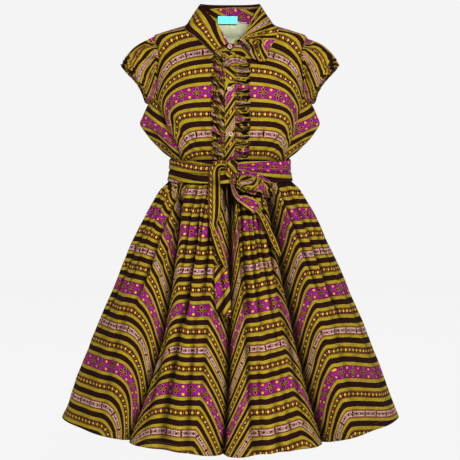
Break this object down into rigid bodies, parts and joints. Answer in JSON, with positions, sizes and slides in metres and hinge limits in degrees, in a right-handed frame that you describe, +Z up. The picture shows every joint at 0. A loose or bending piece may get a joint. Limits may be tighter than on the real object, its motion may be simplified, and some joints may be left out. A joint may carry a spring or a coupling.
{
  "type": "ankara wax print dress",
  "caption": "Knee-length shirt dress in striped ankara wax print, with cap sleeves, collar, ruffled placket, flared gored skirt and tied sash, filled out as worn.",
  "frame": {"origin": "on the wearer's centre line, midway between front and back and level with the shoulder seams at the collar's edge, where the wearer's shoulders carry the dress", "axes": "+Z up, -Y the front of the dress, +X the wearer's left"},
  "size_m": [0.8064, 0.4969, 0.9883],
  "materials": {
    "wax_print": "plain-woven cotton with a crisp wax print of olive, dark brown, magenta and pinkish bands",
    "button": "small pale rose shirt button with four holes",
    "label": "bare woven satin label"
  },
  "bodies": {
    "root": {"bodice_front_right": "wax_print", "bodice_front_left": "wax_print", "bodice_side_right": "wax_print", "bodice_side_left": "wax_print", "bodice_back": "wax_print", "sleeve_right": "wax_print", "sleeve_left": "wax_print", "collar_stand": "wax_print", "collar_fall": "wax_print", "placket": "wax_print", "ruffle_right": "wax_print", "ruffle_left": "wax_print", "skirt_front_right": "wax_print", "skirt_front_left": "wax_print", "skirt_side_right": "wax_print", "skirt_side_left": "wax_print", "skirt_back_right": "wax_print", "skirt_back_left": "wax_print", "sash_band": "wax_print", "sash_knot": "wax_print", "bow_loop": "wax_print", "bow_strap": "wax_print", "sash_tail_right": "wax_print", "sash_tail_left": "wax_print", "button_collar": "button", "button_upper": "button", "button_lower": "button", "neck_label": "label"}
  },
  "joints": []
}
